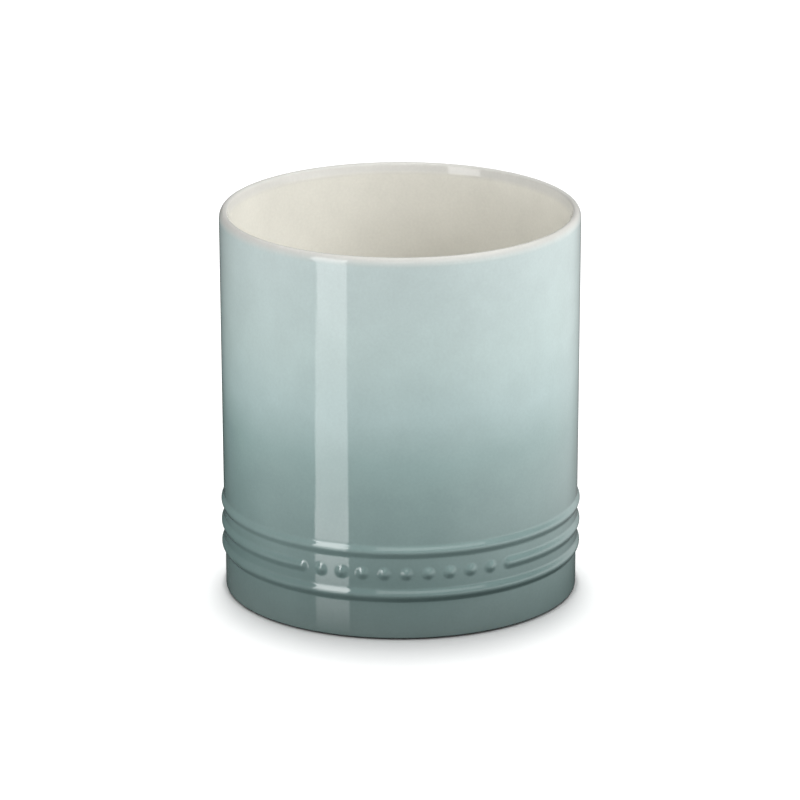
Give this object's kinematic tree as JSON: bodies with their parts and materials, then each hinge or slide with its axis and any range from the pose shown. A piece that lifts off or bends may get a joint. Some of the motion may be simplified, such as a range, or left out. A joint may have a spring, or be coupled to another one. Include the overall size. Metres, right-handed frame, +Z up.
{
  "type": "utensil crock",
  "caption": "Glazed stoneware utensil crock: an open straight-sided pot with a rounded lip, raised beads and a row of dots round its base, and a flat foot ring to stand on.",
  "frame": {"origin": "centre of the foot ring, on the surface that the crock stands on", "axes": "+Z up along the crock's axis, -Y out of the front, where the middle bead opens round the row of dots, +X to the right seen from the front"},
  "size_m": [0.1504, 0.1504, 0.163],
  "materials": {
    "stoneware": "bare fired clay, ground flat on the foot ring",
    "colour_glaze": "glossy grey-green glaze, pale at the lip and darker towards the base",
    "cream_glaze": "glossy cream glaze"
  },
  "bodies": {
    "root": {"stoneware_body": "stoneware", "outer_glaze": "colour_glaze", "liner_glaze": "cream_glaze", "underside_glaze": "cream_glaze"}
  },
  "joints": []
}
